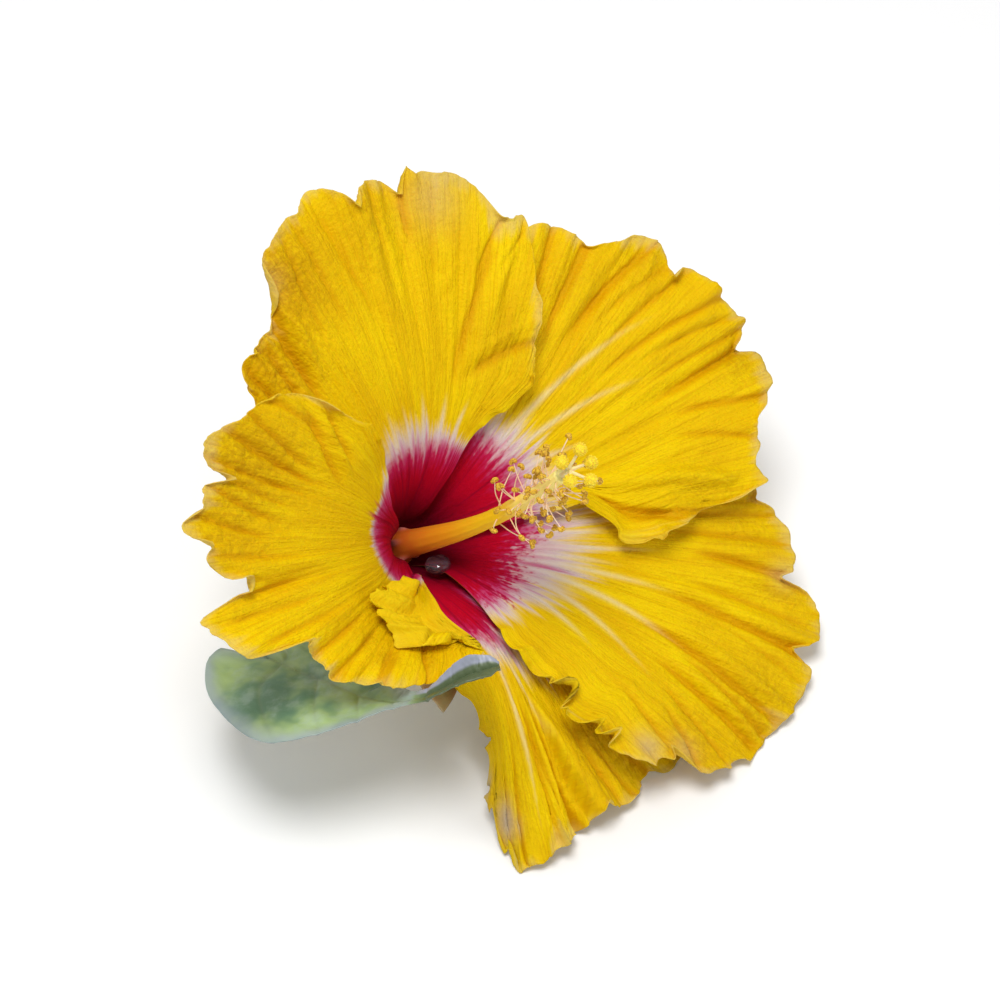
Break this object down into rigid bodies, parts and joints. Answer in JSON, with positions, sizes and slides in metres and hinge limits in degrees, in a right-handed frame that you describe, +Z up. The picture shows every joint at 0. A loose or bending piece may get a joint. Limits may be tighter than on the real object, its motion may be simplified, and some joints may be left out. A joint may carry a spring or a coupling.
{
  "type": "hibiscus flower",
  "caption": "Large open yellow hibiscus blossom with a crimson throat, ruffled overlapping petals, stamen column, calyx, pedicel, cut twig and leaf, lying on a surface.",
  "frame": {"origin": "middle of the flower's bounding box, on the surface it lies on", "axes": "+Z up from the surface; the blossom faces -Y and +X and up, 45 degrees from the vertical; +X to its right seen from -Y"},
  "size_m": [0.1228, 0.1182, 0.1029],
  "materials": {
    "petal": "soft satin, slightly translucent",
    "calyx": "satin",
    "bracteole": "satin",
    "column": "satin",
    "stamen": "dusty matte",
    "pistil": "velvety matte",
    "pedicel": "satin",
    "twig": "rough bark",
    "leaf": "glossy waxy"
  },
  "bodies": {
    "root": {"petal_top": "petal", "petal_right": "petal", "petal_lower_right": "petal", "petal_bottom": "petal", "petal_left": "petal", "calyx": "calyx", "bracteole_1": "bracteole", "bracteole_2": "bracteole", "bracteole_3": "bracteole", "bracteole_4": "bracteole", "bracteole_5": "bracteole", "bracteole_6": "bracteole", "bracteole_7": "bracteole", "staminal_tube": "column", "stamen_01": "stamen", "stamen_02": "stamen", "stamen_03": "stamen", "stamen_04": "stamen", "stamen_05": "stamen", "stamen_06": "stamen", "stamen_07": "stamen", "stamen_08": "stamen", "stamen_09": "stamen", "stamen_10": "stamen", "stamen_11": "stamen", "stamen_12": "stamen", "stamen_13": "stamen", "stamen_14": "stamen", "stamen_15": "stamen", "stamen_16": "stamen", "stamen_17": "stamen", "stamen_18": "stamen", "stamen_19": "stamen", "stamen_20": "stamen", "stamen_21": "stamen", "stamen_22": "stamen", "stamen_23": "stamen", "stamen_24": "stamen", "stamen_25": "stamen", "stamen_26": "stamen", "stamen_27": "stamen", "stamen_28": "stamen", "stamen_29": "stamen", "stamen_30": "stamen", "stamen_31": "stamen", "stamen_32": "stamen", "stamen_33": "stamen", "stamen_34": "stamen", "stamen_35": "stamen", "stamen_36": "stamen", "stamen_37": "stamen", "stamen_38": "stamen", "pistil": "pistil", "pedicel": "pedicel", "twig": "twig", "leaf": "leaf"}
  },
  "joints": []
}
